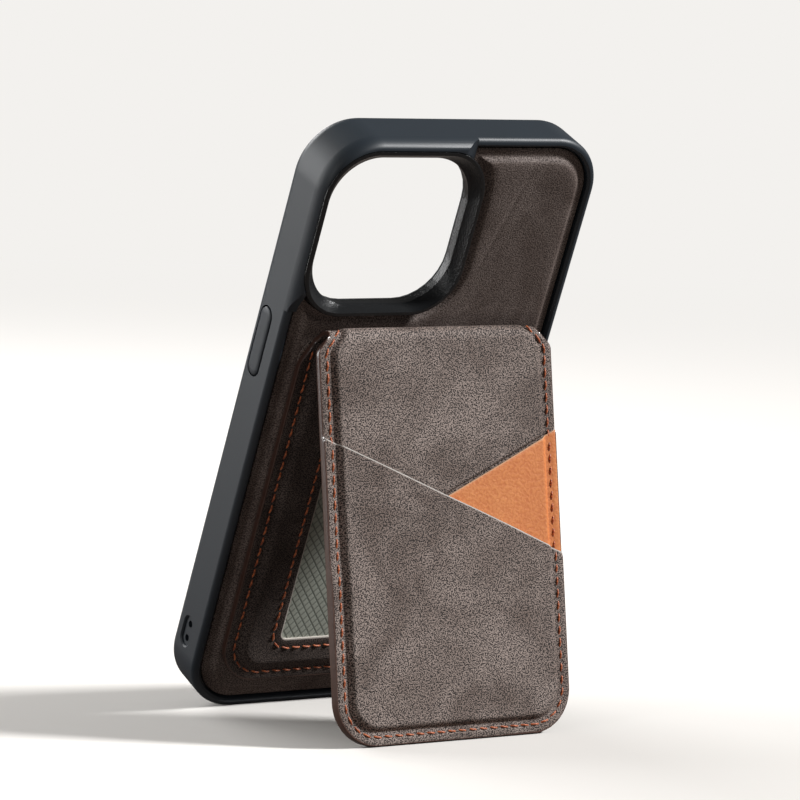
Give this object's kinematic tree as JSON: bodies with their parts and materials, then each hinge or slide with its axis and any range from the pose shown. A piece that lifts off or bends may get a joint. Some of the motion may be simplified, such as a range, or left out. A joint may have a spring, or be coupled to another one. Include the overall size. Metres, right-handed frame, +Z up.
{
  "type": "phone case with folding card wallet stand",
  "caption": "Protective phone case with a leather back, a raised camera guard and a magnetic card wallet that folds out as a stand.",
  "frame": {"origin": "on the standing surface, under the middle of the bounding box", "axes": "+Z up, +X across the case, the leather side and the strut face -Y; the rest pose is the case standing on its lower rear edge and the strut's foot"},
  "size_m": [0.0768, 0.0734, 0.1433],
  "materials": {
    "bumper_rubber": "satin moulded slate grey elastomer",
    "black_plastic": "moulded black, satin",
    "microfibre": "short brushed microfibre",
    "taupe_leather": "fine grained matt taupe leather",
    "dark_leather": "fine grained matt dark brown leather",
    "tan_leather": "smooth tan leather",
    "clear_film": "translucent grey film with a fine diamond lattice",
    "greyboard": "pressed board",
    "magnet_metal": "nickel plated"
  },
  "bodies": {
    "case": {"bumper_frame": "bumper_rubber", "back_shell": "black_plastic", "inner_lining": "microfibre", "camera_guard": "black_plastic", "back_leather": "taupe_leather", "case_magnet_ring": "magnet_metal", "case_alignment_magnet": "magnet_metal", "wallet_backing": "taupe_leather", "wallet_base_board": "greyboard", "wallet_magnet_ring": "magnet_metal", "wallet_alignment_magnet": "magnet_metal", "closure_strike": "magnet_metal", "window_facing": "dark_leather", "id_window": "clear_film"},
    "strut": {"fold_spine": "taupe_leather", "strut_lining": "dark_leather", "strut_board": "greyboard", "closure_magnet": "magnet_metal", "strut_facing": "taupe_leather", "tan_pocket": "tan_leather", "dark_pocket": "taupe_leather"},
    "power_key": {"power_button": "bumper_rubber"},
    "volume_up_key": {"volume_up_button": "bumper_rubber"},
    "volume_down_key": {"volume_down_button": "bumper_rubber"}
  },
  "joints": [
    {"name": "stand_fold", "type": "hinge", "parent": "case", "child": "strut", "pos_m": [0, -0.01986, 0.09422], "axis": [1, 0, 0], "range_deg": [-58.4, 32], "deforming": ["fold_spine"]},
    {"name": "power_press", "type": "slide", "parent": "case", "child": "power_key", "axis": [1, 0, 0], "range_m": [0, 0.00035], "stiffness_N_per_m": 1500},
    {"name": "volume_up_press", "type": "slide", "parent": "case", "child": "volume_up_key", "axis": [-1, 0, 0], "range_m": [0, 0.00035], "stiffness_N_per_m": 1500},
    {"name": "volume_down_press", "type": "slide", "parent": "case", "child": "volume_down_key", "axis": [-1, 0, 0], "range_m": [0, 0.00035], "stiffness_N_per_m": 1500}
  ]
}
